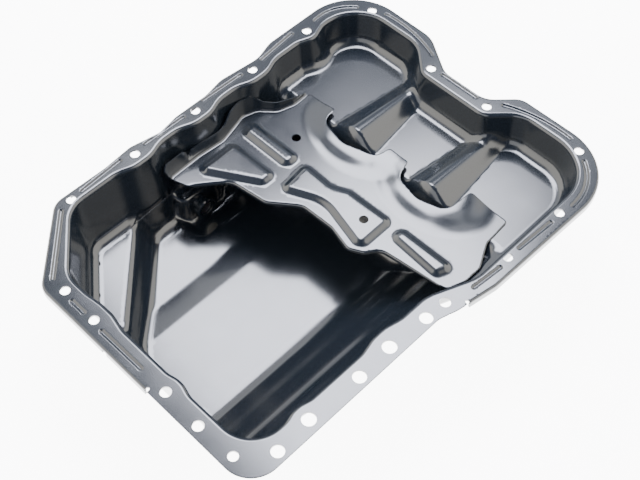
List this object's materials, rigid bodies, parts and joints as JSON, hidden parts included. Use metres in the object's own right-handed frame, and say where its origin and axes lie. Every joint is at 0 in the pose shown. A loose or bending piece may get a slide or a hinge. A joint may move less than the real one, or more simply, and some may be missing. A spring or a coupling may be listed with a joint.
{
  "type": "engine oil pan",
  "caption": "Pressed steel engine oil pan with a deep sump, a shallow ridged end, a splash baffle and a drain plug.",
  "frame": {"origin": "centre of the bolt pattern, on the flange's sealing face", "axes": "+Z out of the sealing face towards the engine, +X from the sump to the shallow end, +Y to the side with the drain plug"},
  "size_m": [0.4044, 0.3069, 0.0906],
  "materials": {
    "black_paint": "gloss",
    "baffle_paint": "gloss",
    "nut_paint": "gloss",
    "plug_steel": "satin",
    "washer_aluminium": "satin"
  },
  "bodies": {
    "root": {"pan": "black_paint", "baffle": "baffle_paint", "drain_nut": "nut_paint", "drain_plug": "plug_steel", "drain_washer": "washer_aluminium"}
  },
  "joints": []
}
